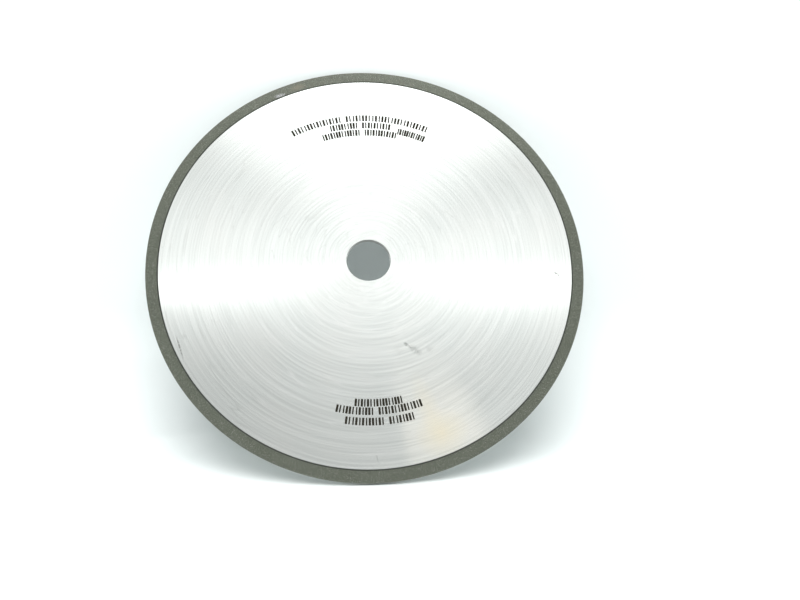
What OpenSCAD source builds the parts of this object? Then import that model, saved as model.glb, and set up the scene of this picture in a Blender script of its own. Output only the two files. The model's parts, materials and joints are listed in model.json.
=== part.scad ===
// Flat diamond grinding wheel: a turned aluminium disc whose edge carries a
// moulded ring of resin and diamond grit. The wheel spins about Y, its front
// face looks towards -Y, and the origin is at the middle of its bore.

/* [Wheel] */
// Diameter over the abrasive
wheel_d = 254; // [150:1:400]
// Thickness between the two flat faces
wheel_t = 3.175; // [2.5:0.025:12]

/* [Rim] */
// Radial depth of the layer that holds diamond
diamond_depth = 6.35; // [3:0.05:12]
// Radial depth of the diamond-free bond behind it
bond_depth = 0.8; // [0.5:0.05:2]
// Width of the dressed bevel on each outer edge
rim_bevel = 0.15; // [0.05:0.05:0.4]

/* [Core] */
// Diameter of the spindle bore
bore_d = 25.4; // [10:0.1:60]
// Width of the deburring bevel at each end of the bore
bore_bevel = 0.2; // [0.05:0.05:0.4]
// Width of the keying groove at the mouth
key_mouth_w = 1; // [0.6:0.1:1.2]
// Width of the keying groove at its floor
key_floor_w = 1.5; // [1.2:0.1:1.8]
// Depth of the keying groove below the core's edge
key_depth = 0.6; // [0.3:0.1:1.5]

/* [Hidden] */
$fn = 360;

wheel_r = wheel_d / 2;
bore_r = bore_d / 2;
half_t = wheel_t / 2;
diamond_inner_r = wheel_r - diamond_depth;
core_r = diamond_inner_r - bond_depth;
key_floor_r = core_r - key_depth;

// Turns a half section, drawn with x as the radius and y along the axle,
// into a ring about Y.
module turned_about_y() {
    rotate([-90, 0, 0])
        rotate_extrude()
            children();
}

// Rectangular half section from one radius to another, over the full thickness.
module full_width_band(inner_r, outer_r) {
    translate([inner_r, -half_t])
        square([outer_r - inner_r, wheel_t]);
}

// The dovetail that locks the moulded ring to the core. The reach carries its
// mouth past the core's edge, so that it cuts and joins without a skin.
module key_section(reach = 0) {
    polygon([
        [key_floor_r, -key_floor_w / 2],
        [core_r, -key_mouth_w / 2],
        [core_r + reach, -key_mouth_w / 2],
        [core_r + reach, key_mouth_w / 2],
        [core_r, key_mouth_w / 2],
        [key_floor_r, key_floor_w / 2]
    ]);
}

// Right-angled corner to be taken off a section, on the side that sign gives.
module corner(r, sign, size, inward) {
    translate([r, sign * half_t])
        polygon([
            [-inward * size, 0],
            [0, 0],
            [0, -sign * size]
        ]);
}

// Solid disc with a bevelled bore and a dovetail groove around its edge
module core() {
    color("gainsboro")
        turned_about_y()
            difference() {
                full_width_band(bore_r, core_r);
                key_section(reach = bond_depth);
                for (side = [-1, 1])
                    corner(bore_r, side, bore_bevel, inward = -1);
            }
}

// Plain resin ring that fills the groove and joins the diamond layer to it
module bond_layer() {
    color("dimgray")
        turned_about_y()
            union() {
                full_width_band(core_r, diamond_inner_r);
                key_section(reach = bond_depth / 2);
            }
}

// The working layer, diamond grit in resin, with its outer edges dressed
module diamond_rim() {
    color("gray")
        turned_about_y()
            difference() {
                full_width_band(diamond_inner_r, wheel_r);
                for (side = [-1, 1])
                    corner(wheel_r, side, rim_bevel, inward = 1);
            }
}

core();
bond_layer();
diamond_rim();
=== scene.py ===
import json
import math
import random

import bmesh
import bpy
import numpy as np
from mathutils import Matrix, Vector, noise


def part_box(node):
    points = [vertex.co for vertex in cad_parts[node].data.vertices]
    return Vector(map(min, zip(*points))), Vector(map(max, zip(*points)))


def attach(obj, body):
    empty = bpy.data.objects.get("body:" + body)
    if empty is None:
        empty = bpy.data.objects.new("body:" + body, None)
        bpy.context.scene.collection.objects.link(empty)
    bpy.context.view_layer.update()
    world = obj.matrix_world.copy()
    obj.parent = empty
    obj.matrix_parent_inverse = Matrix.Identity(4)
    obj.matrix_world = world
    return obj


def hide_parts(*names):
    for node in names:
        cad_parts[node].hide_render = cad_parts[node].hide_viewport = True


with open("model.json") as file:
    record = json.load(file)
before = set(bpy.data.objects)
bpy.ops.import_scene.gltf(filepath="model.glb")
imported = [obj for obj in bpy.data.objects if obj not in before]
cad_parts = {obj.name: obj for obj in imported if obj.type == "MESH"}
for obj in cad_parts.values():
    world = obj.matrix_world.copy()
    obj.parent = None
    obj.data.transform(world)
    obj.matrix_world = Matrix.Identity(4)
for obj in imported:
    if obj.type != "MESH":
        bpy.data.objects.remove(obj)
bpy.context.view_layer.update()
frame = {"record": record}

# Lengths are in metres and angles in degrees. A place on the wheel is a radius
# and a bearing, which is counted clockwise from the top as the front shows it.
MM = 0.001


# ---------------------------------------------------------------- dimensions

def true_radius(node):
    """Radius that stays inside a CAD node's box on every side."""
    low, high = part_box(node)
    return min(-low.x, -low.z, high.x, high.z)


def mount(name):
    return next(m for m in frame["record"]["mounts"] if m["name"] == name)


HALF_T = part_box("core")[1].y
BORE_R = mount("bore")["dims"]["r_mm"] * MM
BORE_BEVEL = HALF_T - mount("bore")["dims"]["length_mm"] * MM / 2
CORE_R = true_radius("core")
BOND_R = true_radius("bond_layer")
WHEEL_R = true_radius("diamond_rim")

KEY_MOUTH_W = 1.0 * MM
KEY_FLOOR_W = 1.5 * MM
KEY_DEPTH = 0.6 * MM
RIM_BEVEL = 0.15 * MM

# How deep the turned faces and the tops of the marks lie below the ground ring
FACING_CUT = 0.012 * MM
MARK_SINK = 0.004 * MM


# ------------------------------------------------------------ shapes in mesh

def on_face(radius, bearing, y):
    """Point of the wheel at a radius and a bearing, at a depth along the axle."""
    turn = math.radians(bearing)
    return Vector((radius * math.sin(turn), y, radius * math.cos(turn)))


def spread(start, end, step):
    """Points along a straight line in the half section, about a step apart, without its end."""
    start, end = np.array(start), np.array(end)
    count = max(1, round(float(np.linalg.norm(end - start)) / step))
    return [tuple(start + (end - start) * i / count) for i in range(count)]


def closed_outline(corners, steps):
    """Half section through its corners, each side cut up by its own step."""
    ends = corners[1:] + corners[:1]
    outline = []
    for start, end, step in zip(corners, ends, steps):
        outline += spread(start, end, step)
    return outline


def lathe(name, outline, segments):
    """Closed ring about Y, turned from a closed outline of (radius, y) points."""
    outline = np.array(outline)
    turn = np.arange(segments) * math.tau / segments
    x = np.outer(np.sin(turn), outline[:, 0])
    y = np.tile(outline[:, 1], (segments, 1))
    z = np.outer(np.cos(turn), outline[:, 0])
    points = np.stack([x, y, z], axis=-1).reshape(-1, 3)
    around, along = np.meshgrid(np.arange(segments), np.arange(len(outline)), indexing="ij")
    here = around * len(outline)
    there = (around + 1) % segments * len(outline)
    after = (along + 1) % len(outline)
    quads = np.stack([here + along, here + after, there + after, there + along], axis=-1)
    mesh = bpy.data.meshes.new(name)
    mesh.from_pydata(points.tolist(), [], quads.reshape(-1, 4).tolist())
    face_outwards(mesh)
    return put_in_scene(name, mesh)


def face_outwards(mesh):
    shell = bmesh.new()
    shell.from_mesh(mesh)
    bmesh.ops.recalc_face_normals(shell, faces=shell.faces)
    shell.to_mesh(mesh)
    shell.free()


def put_in_scene(name, mesh):
    piece = bpy.data.objects.new(name, mesh)
    bpy.context.scene.collection.objects.link(piece)
    return piece


def smooth(piece, sharp_angle):
    """Smooth shading that stays crisp where two faces meet at more than an angle."""
    piece.data.polygons.foreach_set("use_smooth", [True] * len(piece.data.polygons))
    piece.data.set_sharp_from_angle(angle=math.radians(sharp_angle))


def belongs(piece, slot, *nodes):
    """Rides on the wheel's one body, and hides the CAD nodes that it stands for. The slot is not
    used.
    """
    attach(piece, "root")
    if nodes:
        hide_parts(*nodes)


# ---------------------------------------------------------- materials, tools

class Nodes:
    """Short names for building one material's or one world's node tree."""

    def __init__(self, owner):
        owner.use_nodes = True
        self.owner = owner
        self.tree = owner.node_tree

    def add(self, kind, inputs=None, **settings):
        node = self.tree.nodes.new(kind)
        for key, value in settings.items():
            setattr(node, key, value)
        for key, value in (inputs or {}).items():
            self.join(value, node.inputs[key])
        return node

    def join(self, value, socket):
        if isinstance(value, bpy.types.NodeSocket):
            self.tree.links.new(value, socket)
        else:
            socket.default_value = value

    def math(self, operation, a, b=0.0):
        return self.add("ShaderNodeMath", {0: a, 1: b}, operation=operation).outputs[0]

    def vector(self, operation, a, b=(0, 0, 0)):
        node = self.add("ShaderNodeVectorMath", {0: a, 1: b}, operation=operation)
        return node.outputs["Value" if operation == "LENGTH" else "Vector"]

    def scaled(self, vector, factor):
        node = self.add("ShaderNodeVectorMath", {0: vector, "Scale": factor}, operation="SCALE")
        return node.outputs["Vector"]

    def place(self):
        """Position on the wheel, in metres."""
        return self.add("ShaderNodeTexCoord").outputs["Object"]

    def noise(self, vector, scale, detail=2.0, roughness=0.5):
        inputs = {"Vector": vector, "Scale": scale, "Detail": detail, "Roughness": roughness}
        return self.add("ShaderNodeTexNoise", inputs).outputs["Fac"]

    def grains(self, vector, scale):
        return self.add("ShaderNodeTexVoronoi", {"Vector": vector, "Scale": scale})

    def between(self, value, low, high, to_low=0.0, to_high=1.0):
        inputs = {0: value, 1: low, 2: high, 3: to_low, 4: to_high}
        return self.add("ShaderNodeMapRange", inputs).outputs["Result"]

    def rise(self, value, middle, half_width):
        """0 to 1 in a smooth step around a middle value, or 1 to 0 if the width is negative."""
        inputs = {0: value, 1: middle - half_width, 2: middle + half_width}
        step = self.add("ShaderNodeMapRange", inputs, interpolation_type="SMOOTHSTEP")
        return step.outputs["Result"]

    def blend(self, factor, a, b):
        """A number between two others."""
        node = self.add("ShaderNodeMix", {0: factor, 2: a, 3: b}, data_type="FLOAT")
        return node.outputs[0]

    def mix(self, factor, a, b):
        """A colour between two others."""
        node = self.add("ShaderNodeMix", data_type="RGBA")
        self.join(factor, node.inputs["Factor"])
        self.join(a, node.inputs["A"])
        self.join(b, node.inputs["B"])
        return node.outputs["Result"]

    def bump(self, height, distance, strength=1.0):
        inputs = {"Height": height, "Distance": distance, "Strength": strength}
        return self.add("ShaderNodeBump", inputs).outputs["Normal"]

    def finish(self, colour, roughness, metallic=0.0, normal=None, **values):
        shader = self.tree.nodes["Principled BSDF"]
        self.join(colour, shader.inputs["Base Color"])
        self.join(roughness, shader.inputs["Roughness"])
        shader.inputs["Metallic"].default_value = metallic
        if normal is not None:
            self.join(normal, shader.inputs["Normal"])
        for key, value in values.items():
            self.join(value, shader.inputs[key])
        return self.owner


def new_material(name):
    return Nodes(bpy.data.materials.new(name))


def rgb(red, green, blue):
    return (red, green, blue, 1.0)


# ----------------------------------------------------------------- materials

# Wear on the front face: radius, bearing, length, width, heading in degrees from
# the tangent, and how dark it is.
SCUFFS = [
    (110.5 * MM, 94.9, 3.2 * MM, 1.4 * MM, -61, 1.0),
    (112.3 * MM, 95.8, 3.2 * MM, 1.3 * MM, -28, 0.9),
    (54.7 * MM, 158.8, 3.4 * MM, 2.2 * MM, 60, 0.85),
    (57.0 * MM, 157.2, 3.8 * MM, 2.0 * MM, 60, 0.55),
    (59.8 * MM, 155.4, 10.0 * MM, 5.0 * MM, 60, 0.42),
    (63.5 * MM, 148.5, 6.0 * MM, 5.0 * MM, 0, 0.2),
    (116.8 * MM, 244.5, 16.0 * MM, 1.2 * MM, 7, 1.0),
    (113.4 * MM, 179.2, 10.0 * MM, 0.5 * MM, 72, 0.45),
    (57.9 * MM, 62.1, 9.5 * MM, 0.45 * MM, -22, 0.4),
    (118.5 * MM, 274.5, 1.2 * MM, 0.8 * MM, 30, 0.3),
    (79.0 * MM, 141.0, 4.0 * MM, 0.3 * MM, 50, 0.15),
]

# Painted warm reflection on the disc, a cream patch and a radial streak, in the same terms, and
# how strong it is
WARM_REFLECTION_PATCHES = [
    (108.0 * MM, 159.6, 32.0 * MM, 28.0 * MM, 0, 0.62),
    (93.0 * MM, 160.8, 46.0 * MM, 14.0 * MM, 90, 0.32),
]

# A rubbed spot and a stain on the abrasive ring
RIM_RUB = (121.9 * MM, -25.4, 9.0 * MM, 3.2 * MM, 8)
RIM_STAIN = (123.2 * MM, -19.6, 12.0 * MM, 5.5 * MM, 0)

CUT_DARK, CUT_BRIGHT = rgb(0.815, 0.83, 0.815), rgb(0.915, 0.925, 0.91)
# Dark arcs, and a near-white painted sheen for the bright arcs
ARC_DARK, ARC_PAINTED_SHEEN = rgb(0.66, 0.67, 0.65), rgb(0.985, 0.985, 0.975)
WORN_METAL = rgb(0.9, 0.885, 0.865)
SCUFFED_METAL = rgb(0.2, 0.2, 0.19)
# A pale cream, painted as the reflection of a warm object near the disc's foot
PAINTED_WARM_REFLECTION = rgb(0.98, 0.9, 0.7)
# The bore's wall and bevels: a dark grey that is painted shade at the bore's edge
BORE_SHADE_DARK, BORE_SHADE_LIGHT = rgb(0.36, 0.38, 0.37), rgb(0.48, 0.5, 0.485)
RESIN_DARK, RESIN_BRIGHT = rgb(0.108, 0.114, 0.084), rgb(0.128, 0.134, 0.104)
GRIT = rgb(0.2, 0.207, 0.163)
# A painted glint for the few grains that sparkle
PAINTED_GLINT = rgb(0.55, 0.56, 0.5)
RUBBED_GRIT = rgb(0.62, 0.6, 0.62)
STAINED_GRIT = rgb(0.27, 0.24, 0.18)
BOND_DARK, BOND_BRIGHT = rgb(0.045, 0.049, 0.038), rgb(0.07, 0.075, 0.06)
BURN_DARK, BURN_BROWN = rgb(0.018, 0.014, 0.007), rgb(0.05, 0.04, 0.022)


def streak(n, place, radius, bearing, length, width, heading, core=0.35):
    """1 in the core of a long thin spot on the front face, falling to 0 at its edge."""
    reach_in = 1.0 * MM
    from_centre = n.vector("SUBTRACT", place, tuple(on_face(radius, bearing, -HALF_T)))
    turn = math.radians(bearing + heading)
    inputs = {"Vector": from_centre, "Angle": -turn}
    squared_up = n.add("ShaderNodeVectorRotate", inputs, rotation_type="Y_AXIS").outputs[0]
    scaled = n.vector("MULTIPLY", squared_up, (2 / length, 1 / reach_in, 2 / width))
    return n.between(n.vector("LENGTH", scaled), 1.0, core)


def grooves(n, polar, arc, per_metre, detail=0.0):
    """Noise that runs along the grooves for a long way and changes quickly across them."""
    radius, direction = polar
    across = n.add("ShaderNodeCombineXYZ", {"Y": n.math("MULTIPLY", radius, per_metre)}).outputs[0]
    where = n.vector("ADD", n.scaled(direction, arc), across)
    return n.noise(where, 1.0, detail)


def arcs(n, polar, arc, per_metre, width):
    """Thin lines along the grooves, which taper off at both ends."""
    off_line = n.math("ABSOLUTE", n.math("SUBTRACT", grooves(n, polar, arc, per_metre), 0.5))
    return n.between(off_line, width, 0.0)


def groove_colour(n, place, polar, cut):
    """Fine light and dark lines, with scratches given a painted sheen along bright arcs in some
    patches, and dark arcs in the rest.
    """
    shade = n.blend(0.4, cut, grooves(n, polar, 2.0, 1300.0))
    patchy = n.between(n.noise(place, 14.0, 1.0), 0.4, 0.62)
    the_rest = n.math("SUBTRACT", 1.0, patchy)
    painted_sheen_arcs = n.math("MULTIPLY", arcs(n, polar, 1.6, 260.0, 0.035), patchy)
    dark_arcs = n.math("MULTIPLY", arcs(n, polar, 1.9, 330.0, 0.03), the_rest)
    colour = n.mix(n.between(shade, 0.36, 0.64), CUT_DARK, CUT_BRIGHT)
    # Painted sheen: bright arcs lightened as if the scratches caught the light
    colour = n.mix(n.math("MULTIPLY", painted_sheen_arcs, 0.6), colour, ARC_PAINTED_SHEEN)
    return n.mix(n.math("MULTIPLY", dark_arcs, 0.4), colour, ARC_DARK)


def with_scuffs_and_painted_reflection(n, place, colour):
    """The colour of the front face, with its scuffs and a painted warm reflection laid over it."""
    broken = n.between(n.noise(place, 1400.0, 2.0), 0.35, 0.6)
    for *where, darkness in SCUFFS:
        mask = n.math("MULTIPLY", streak(n, place, *where), broken)
        colour = n.mix(n.math("MULTIPLY", mask, darkness), colour, SCUFFED_METAL)
    # Painted warm reflection: a cream patch near the disc's foot and a radial streak below the
    # bore
    for *where, strength in WARM_REFLECTION_PATCHES:
        painted_reflection = n.math("MULTIPLY", streak(n, place, *where, core=0.0), strength)
        colour = n.mix(painted_reflection, colour, PAINTED_WARM_REFLECTION)
    return colour


def turned_aluminium():
    """Facing cut on a lathe: grooves that run round the bore and stretch reflections outwards."""
    n = new_material("turned_aluminium")
    place = n.place()
    outward = n.vector("MULTIPLY", place, (1, 0, 1))
    direction = n.vector("NORMALIZE", outward)
    polar = n.vector("LENGTH", outward), direction
    cut = n.blend(0.15, grooves(n, polar, 1.7, 880.0), grooves(n, polar, 1.1, 330.0, 1.0))
    worn = n.noise(place, 30.0, 4.0)
    colour = groove_colour(n, place, polar, cut)
    colour = n.mix(n.between(worn, 0.4, 0.7, 0.0, 0.4), colour, WORN_METAL)
    colour = with_scuffs_and_painted_reflection(n, place, colour)
    dulled = n.math("ADD", cut, n.math("MULTIPLY", worn, 0.4))
    roughness = n.between(dulled, 0.5, 0.9, 0.137, 0.149)
    relief = n.bump(cut, 0.0009 * MM)
    return n.finish(colour, roughness, 1.0, relief, Anisotropic=0.95, Tangent=direction)


def bored_aluminium():
    """The bore's wall and the bevels, cut with a finer tool and dulled by the spindle, and
    coloured dark grey as painted shade at the bore's edge.
    """
    n = new_material("bored_aluminium")
    rings = n.noise(n.vector("MULTIPLY", n.place(), (60, 4000, 60)), 1.0, 2.0)
    roughness = n.between(rings, 0.3, 0.7, 0.25, 0.38)
    # Dark grey: painted shade that makes the bore's sides read as dark lines
    colour = n.mix(rings, BORE_SHADE_DARK, BORE_SHADE_LIGHT)
    return n.finish(colour, roughness, 1.0, n.bump(rings, 0.004 * MM))


def diamond_grit():
    """Grey-green resin packed with grit, ground flat, with a painted glint on a few glossier
    grains.
    """
    n = new_material("diamond_grit")
    place = n.place()
    grain = n.grains(place, 4200.0)
    shade_of_grain = n.add("ShaderNodeSeparateColor", {0: grain.outputs["Color"]}).outputs[0]
    clumps = n.noise(place, 1400.0, 3.0)
    patches = n.noise(place, 45.0, 3.0)
    resin = n.mix(n.between(patches, 0.35, 0.65), RESIN_DARK, RESIN_BRIGHT)
    mottled = n.mix(n.between(clumps, 0.3, 0.7), resin, GRIT)
    sparkle = n.between(shade_of_grain, 0.93, 0.96)
    # Painted glint: a few grains lightened as if catching the light
    colour = n.mix(n.math("MULTIPLY", sparkle, 0.6), mottled, PAINTED_GLINT)
    rubbed = n.math("MULTIPLY", streak(n, place, *RIM_RUB), n.between(clumps, 0.35, 0.6))
    colour = n.mix(rubbed, colour, RUBBED_GRIT)
    stained = n.math("MULTIPLY", streak(n, place, *RIM_STAIN), 0.6)
    colour = n.mix(stained, colour, STAINED_GRIT)
    roughness = n.between(sparkle, 0.0, 1.0, 0.62, 0.3)
    height = n.math("ADD", grain.outputs["Distance"], n.math("MULTIPLY", clumps, 0.5))
    return n.finish(colour, roughness, 0.0, n.bump(height, 0.05 * MM, 0.7))


def plain_resin():
    """The diamond-free bond: the same resin, smoother and a touch darker."""
    n = new_material("plain_resin")
    place = n.place()
    cloud = n.noise(place, 600.0, 3.0)
    colour = n.mix(n.between(cloud, 0.3, 0.7), BOND_DARK, BOND_BRIGHT)
    roughness = n.between(cloud, 0.3, 0.7, 0.5, 0.65)
    return n.finish(colour, roughness, 0.0, n.bump(cloud, 0.02 * MM))


def laser_mark():
    """Metal burnt brown-black by a marking laser."""
    n = new_material("laser_mark")
    burn = n.noise(n.place(), 2500.0, 2.0)
    colour = n.mix(n.between(burn, 0.3, 0.7), BURN_DARK, BURN_BROWN)
    return n.finish(colour, 0.85, 0.0, n.bump(burn, 0.01 * MM))


# -------------------------------------------------------------------- pieces

# How finely each piece is cut up: points around it, and the step along its section
CORE_SEGMENTS, FACE_STEP, EDGE_STEP = 512, 1.5 * MM, 0.5 * MM
BOND_SEGMENTS, BOND_STEP = 720, 0.4 * MM
RIM_SEGMENTS, RIM_STEP = 1760, 0.45 * MM

# Where two faces meet at more than this angle, the edge between them stays crisp.
SHARP_EDGE = 30
SHARP_PIT = 40


def make_core():
    """Turned disc with its bevelled bore and the dovetail that keys the ring."""
    half_t = HALF_T - FACING_CUT
    floor_r = CORE_R - KEY_DEPTH
    front = [
        (BORE_R, -half_t + BORE_BEVEL),
        (BORE_R + BORE_BEVEL, -half_t),
        (CORE_R, -half_t),
        (CORE_R, -KEY_MOUTH_W / 2),
        (floor_r, -KEY_FLOOR_W / 2),
    ]
    back = [(r, -y) for r, y in reversed(front)]
    steps = [EDGE_STEP, FACE_STEP] + [EDGE_STEP] * 5 + [FACE_STEP] + [EDGE_STEP] * 2
    core = lathe("core_disc", closed_outline(front + back, steps), CORE_SEGMENTS)
    core.data.materials.append(turned_aluminium())
    core.data.materials.append(bored_aluminium())
    for face in core.data.polygons:
        is_flat = abs(face.normal.y) > 0.9
        face.material_index = 0 if is_flat else 1
    smooth(core, SHARP_EDGE)
    belongs(core, "core", "core")


def make_bond_layer():
    """Thin resin ring, keyed into the core."""
    floor_r = CORE_R - KEY_DEPTH
    corners = [
        (CORE_R, -HALF_T),
        (BOND_R, -HALF_T),
        (BOND_R, HALF_T),
        (CORE_R, HALF_T),
        (CORE_R, KEY_MOUTH_W / 2),
        (floor_r, KEY_FLOOR_W / 2),
        (floor_r, -KEY_FLOOR_W / 2),
        (CORE_R, -KEY_MOUTH_W / 2),
    ]
    outline = closed_outline(corners, [BOND_STEP] * len(corners))
    bond = lathe("bond_ring", outline, BOND_SEGMENTS)
    bond.data.materials.append(plain_resin())
    smooth(bond, SHARP_EDGE)
    belongs(bond, "bond", "bond_layer")


def make_diamond_rim():
    """The abrasive ring, with the pits that dressing leaves between its grains."""
    corners = [
        (BOND_R, -HALF_T),
        (WHEEL_R - RIM_BEVEL, -HALF_T),
        (WHEEL_R, -HALF_T + RIM_BEVEL),
        (WHEEL_R, HALF_T - RIM_BEVEL),
        (WHEEL_R - RIM_BEVEL, HALF_T),
        (BOND_R, HALF_T),
    ]
    steps = [RIM_STEP] * 5 + [HALF_T]
    rim = lathe("diamond_ring", closed_outline(corners, steps), RIM_SEGMENTS)
    pit_surface(rim.data)
    rim.data.materials.append(diamond_grit())
    smooth(rim, SHARP_PIT)
    belongs(rim, "diamond_rim", "diamond_rim")
    return rim


def pit_surface(mesh):
    """Sinks each point of the abrasive surface a little, some of them deeper."""
    worn_depth = 0.02 * MM
    pit_depth = 0.07 * MM
    pit_threshold = 0.35
    waves_per_metre = 700.0
    pits_per_metre = 1900.0
    joint_r = BOND_R + 0.1 * MM
    normals = [v.normal.copy() for v in mesh.vertices]
    for vertex, normal in zip(mesh.vertices, normals):
        if math.hypot(vertex.co.x, vertex.co.z) < joint_r:
            continue
        wear = 0.5 + 0.5 * noise.noise(vertex.co * waves_per_metre)
        pit = max(0.0, noise.noise(vertex.co * pits_per_metre) - pit_threshold)
        vertex.co -= normal * (worn_depth * wear + pit_depth * pit)


# Rows of plain marks where such a wheel carries its data: the radius of the
# row's middle, its first and last bearing, and the pairs of bars in each group.
MARK_ROWS = {
    "mark_row_top_1": (94.2 * MM, -28.3, 24.3, (8, 13)),
    "mark_row_top_2": (89.2 * MM, -14.2, 10.2, (5, 5)),
    "mark_row_top_3": (84.2 * MM, -18.2, 13.4, (7, 6)),
    "mark_row_top_4": (87.3 * MM, 13.0, 24.6, (6,)),
    "mark_row_low_1": (83.9 * MM, 168.4, 186.8, (8,)),
    "mark_row_low_2": (88.5 * MM, 162.0, 193.2, (7, 6)),
    "mark_row_low_3": (94.2 * MM, 165.8, 189.4, (4, 6)),
}
MARK_HEIGHT = 4.2 * MM
MARK_NICK = 0.15 * MM
THICK_BAR = 1.25 * MM
THIN_BAR = 0.8 * MM

# As parts of one pair's pitch: how far each bar stands from the pair's middle, and
# the gap between two groups
THICK_OFFSET = 0.26
THIN_OFFSET = 0.22
GROUP_GAP = 0.6


def make_marks():
    """Rows of dark bars on the front face, which spell nothing."""
    material = laser_mark()
    for number, (name, row) in enumerate(MARK_ROWS.items()):
        marks = mark_row(name, random.Random(number), *row)
        marks.data.materials.append(material)
        belongs(marks, "etched_mark")


def mark_row(name, chance, radius, first, last, groups):
    """One arc of bars, in groups with a gap between them."""
    pitches = sum(groups) + GROUP_GAP * (len(groups) - 1)
    pitch = (last - first) / pitches
    shell = bmesh.new()
    bearing = first + pitch / 2
    for group in groups:
        for _ in range(group):
            bars(shell, chance, radius, bearing, pitch)
            bearing += pitch
        bearing += GROUP_GAP * pitch
    mesh = bpy.data.meshes.new(name)
    shell.to_mesh(mesh)
    shell.free()
    return put_in_scene(name, mesh)


def bars(shell, chance, radius, bearing, pitch):
    """Two upright bars, one thick and one thin, of which either may come first."""
    width = math.radians(pitch) * radius
    side = chance.choice((-1, 1))
    stroke(shell, radius, bearing, -side * THICK_OFFSET * width, THICK_BAR)
    stroke(shell, radius, bearing, side * THIN_OFFSET * width, THIN_BAR)


def stroke(shell, radius, bearing, across, width):
    """Thin plate with cut corners, laid in the facing cut at its place on the row."""
    top = -(HALF_T - MARK_SINK)
    floor = -(HALF_T - FACING_CUT)
    nick = MARK_NICK
    w, h = width / 2, MARK_HEIGHT / 2
    outline = [
        (-w + nick, -h), (w - nick, -h), (w, -h + nick), (w, h - nick),
        (w - nick, h), (-w + nick, h), (-w, h - nick), (-w, -h + nick),
    ]
    turn = Matrix.Rotation(math.radians(bearing), 3, "Y")
    rings = []
    for y in (top, floor):
        corners = [turn @ Vector((across + a, y, radius + b)) for a, b in outline]
        rings.append([shell.verts.new(c) for c in corners])
    upper, lower = rings
    shell.faces.new(upper)
    shell.faces.new(reversed(lower))
    for i, corner in enumerate(upper):
        j = (i + 1) % len(upper)
        shell.faces.new((upper[j], corner, lower[i], lower[j]))


# -------------------------------------------------------------------- studio
# The wheel stands on its edge and leans back against a white sweep. Places in
# the studio are counted from where it touches the table: right, back and up.

LEAN = 28.5
STUDIO = Matrix.Translation((0, HALF_T, -WHEEL_R)) @ Matrix.Rotation(math.radians(LEAN), 4, "X")
CAMERA_AT = (-0.018, -0.3997, 0.1706)
CAMERA_AIM = (0.0174, 0.046, 0.0914)
LENS_MM = 35.63
SENSOR_MM = 36.0
NEAREST_SEEN = 0.01
LAMP_AIM = (0, 0.06, 0.11)

# The sweep: where its table begins and is cut across, how far it reaches to each
# side and up, and the quarter round's radius and number of flats
SWEEP_FRONT = -1.8
SWEEP_MIDDLE = -0.5
SWEEP_HALF_W = 1.6
SWEEP_TOP = 1.4
SWEEP_BEND = 0.075
SWEEP_FLATS = 12
PAPER_DARK, PAPER_BRIGHT = rgb(0.815, 0.85, 0.848), rgb(0.835, 0.86, 0.858)


def looking(start, aim):
    """Pose of a camera or a lamp in the studio, from its place and what it points at."""
    way = Vector(aim) - Vector(start)
    return STUDIO @ Matrix.Translation(start) @ way.to_track_quat("-Z", "Y").to_matrix().to_4x4()


def make_camera():
    lens = bpy.data.cameras.new("camera")
    lens.sensor_width = SENSOR_MM
    lens.lens = LENS_MM
    lens.clip_start = NEAREST_SEEN
    camera = bpy.data.objects.new("camera", lens)
    camera.matrix_world = looking(CAMERA_AT, CAMERA_AIM)
    bpy.context.scene.collection.objects.link(camera)
    bpy.context.scene.camera = camera


def lamp(name, only, at, size, watts, colour=(1.0, 1.0, 1.0)):
    """Soft rectangular lamp aimed at the wheel, and kept to one object if one is given."""
    light = bpy.data.lights.new(name, "AREA")
    light.shape = "RECTANGLE"
    light.size, light.size_y = size
    light.energy = watts
    light.color = colour
    holder = bpy.data.objects.new(name, light)
    holder.matrix_world = looking(at, LAMP_AIM)
    bpy.context.scene.collection.objects.link(holder)
    if only:
        kept = bpy.data.collections.new(name + "_receives")
        kept.objects.link(only)
        holder.light_linking.receiver_collection = kept


def white_paper():
    """Matt white that is seen from its front only, so that it never hides the wheel."""
    n = new_material("white_paper")
    fibre = n.noise(n.place(), 9.0, 3.0)
    n.finish(n.mix(fibre, PAPER_DARK, PAPER_BRIGHT), 0.9)
    clear = n.add("ShaderNodeBsdfTransparent")
    behind = n.add("ShaderNodeNewGeometry").outputs["Backfacing"]
    paper = n.tree.nodes["Principled BSDF"]
    side = n.add("ShaderNodeMixShader", {0: behind, 1: paper.outputs[0], 2: clear.outputs[0]})
    n.join(side.outputs[0], n.tree.nodes["Material Output"].inputs["Surface"])
    return n.owner


def make_sweep():
    """Table, quarter round and wall in one sheet, with the wall just behind the wheel's top."""
    wall = 2 * WHEEL_R * math.sin(math.radians(LEAN)) + MM
    line = [(SWEEP_FRONT, 0.0), (SWEEP_MIDDLE, 0.0)]
    for step in range(SWEEP_FLATS + 1):
        angle = math.radians(90 * step / SWEEP_FLATS)
        out, up = math.sin(angle) - 1, 1 - math.cos(angle)
        line.append((wall + SWEEP_BEND * out, SWEEP_BEND * up))
    line.append((wall, SWEEP_TOP))
    sides = (SWEEP_HALF_W, -SWEEP_HALF_W)
    points = [STUDIO @ Vector((x, y, z)) for y, z in line for x in sides]
    quads = [(i, i + 2, i + 3, i + 1) for i in range(0, len(points) - 2, 2)]
    mesh = bpy.data.meshes.new("sweep")
    mesh.from_pydata(points, [], quads)
    sweep = put_in_scene("sweep", mesh)
    mesh.materials.append(white_paper())
    smooth(sweep, SHARP_EDGE)
    sweep.visible_shadow = False
    sweep.visible_glossy = False
    return sweep


def make_lights(sweep, rim):
    """A small warm card that the disc mirrors near its foot, and a wash each for rim and paper."""
    lamp("warm_card", None, (0.114, -0.46, 0.39), (0.1, 0.07), 0.0085, (1.0, 0.88, 0.7))
    lamp("rim_light", rim, (0.02, -0.04, 0.42), (0.16, 0.16), 0.26)
    lamp("paper_wash", sweep, (-0.07, -0.82, 1.5), (1.5, 1.3), 32.0)


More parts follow.
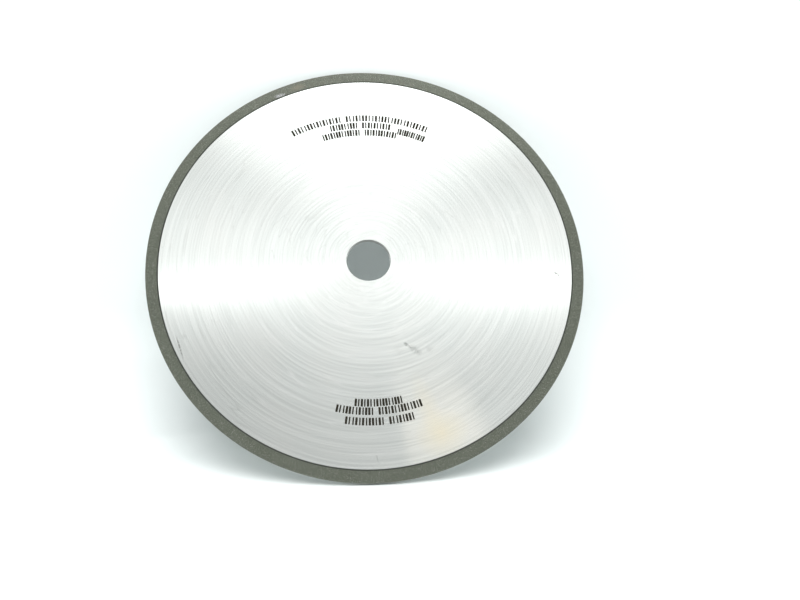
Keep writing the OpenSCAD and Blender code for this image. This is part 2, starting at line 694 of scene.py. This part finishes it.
# The room that the wheel mirrors. A direction has a height in degrees, from 0 at the
# horizon to 90 overhead, and a side in degrees, right of straight ahead. Each border
# is its middle and half its width. A negative width ends a part that lies below or
# inside the border, and a positive one starts a part that lies beyond it.
ROOM_MIDDLE = 2.2
FLOOR_SIDES = (40.0, 12.0)
WALL_LEFT_TO_RIGHT = (10.0, 20.0)
FLOOR_TO_WALL = (25.0, 8.0)
WALL_TO_SHELF = (47.4, 1.5)
SHELF_TO_UPPER_WALL = (48.2, 1.5)
WALL_TO_CEILING = (61.6, 5.0)
CEILING_SIDES = (14.5, 6.0)
WINDOW_BOTTOM = (44.0, 1.5)
WINDOW_TOP = (53.5, -5.0)
WINDOW_SIDES = (16.6, -3.5)
FAR_SIDES = (57.0, 8.0)

# How brightly each part glows, with paper in full light at 1
FLOOR_GLOW, FLOOR_SIDE_GLOW = 0.5, 1.1
WALL_LEFT_GLOW, WALL_RIGHT_GLOW = 0.53, 0.79
SHELF_GLOW = 2.62
UPPER_WALL_GLOW = 0.88
CEILING_GLOW, CEILING_SIDE_GLOW = 2.99, 0.1
WINDOW_GLOW = 0.27
FAR_SIDE_GLOW = 0.7

# The room's tint as the wheel mirrors it, and the share and tint of its light that
# matt surfaces pass on
MIRRORED_TINT = rgb(0.965, 1.0, 0.985)
BOUNCED_TINT = rgb(0.9, 1.0, 0.99)
BOUNCED_SHARE = 0.48
WHITE = rgb(1.0, 1.0, 1.0)


def room_directions(n):
    """Height and side of each direction, the same in front of the wheel and behind it."""
    way = n.add("ShaderNodeTexCoord").outputs["Generated"]
    x, y, z = n.add("ShaderNodeSeparateXYZ", {0: way}).outputs
    tilt = n.math("ARCTAN2", z, n.math("ABSOLUTE", y))
    height = n.math("ADD", n.math("DEGREES", tilt), LEAN)
    side = n.math("DEGREES", n.math("ARCSINE", x))
    return height, side


def room_glow(n, height, side):
    """Brightness of the room in each direction, built up from the floor to the ceiling."""
    off_middle = n.math("ABSOLUTE", n.math("SUBTRACT", side, ROOM_MIDDLE))
    floor = n.blend(n.rise(off_middle, *FLOOR_SIDES), FLOOR_GLOW, FLOOR_SIDE_GLOW)
    wall = n.blend(n.rise(side, *WALL_LEFT_TO_RIGHT), WALL_LEFT_GLOW, WALL_RIGHT_GLOW)
    ceiling = n.blend(n.rise(off_middle, *CEILING_SIDES), CEILING_GLOW, CEILING_SIDE_GLOW)
    room = n.blend(n.rise(height, *FLOOR_TO_WALL), floor, wall)
    room = n.blend(n.rise(height, *WALL_TO_SHELF), room, SHELF_GLOW)
    room = n.blend(n.rise(height, *SHELF_TO_UPPER_WALL), room, UPPER_WALL_GLOW)
    room = n.blend(n.rise(height, *WALL_TO_CEILING), room, ceiling)
    window = n.math("MULTIPLY", n.rise(height, *WINDOW_BOTTOM), n.rise(height, *WINDOW_TOP))
    window = n.math("MULTIPLY", window, n.rise(off_middle, *WINDOW_SIDES))
    room = n.math("ADD", room, n.math("MULTIPLY", window, WINDOW_GLOW))
    return n.blend(n.rise(off_middle, *FAR_SIDES), room, FAR_SIDE_GLOW)


def make_world():
    """The mirrored room, dimmer where matt surfaces pass its light on, and white to the camera."""
    world = bpy.data.worlds.new("studio_room")
    n = Nodes(world)
    ray = n.add("ShaderNodeLightPath").outputs
    bounced = n.math("MINIMUM", ray["Diffuse Depth"], 1.0)
    room = room_glow(n, *room_directions(n))
    light = n.math("MULTIPLY", room, n.blend(bounced, 1.0, BOUNCED_SHARE))
    tint = n.mix(bounced, MIRRORED_TINT, BOUNCED_TINT)
    background = n.tree.nodes["Background"].inputs
    n.join(n.mix(ray["Is Camera Ray"], tint, WHITE), background["Color"])
    n.join(n.blend(ray["Is Camera Ray"], light, 1.0), background["Strength"])
    bpy.context.scene.world = world
    bpy.context.scene.view_settings.view_transform = "Standard"


make_core()
make_bond_layer()
rim = make_diamond_rim()
make_marks()
make_lights(make_sweep(), rim)
make_world()
make_camera()
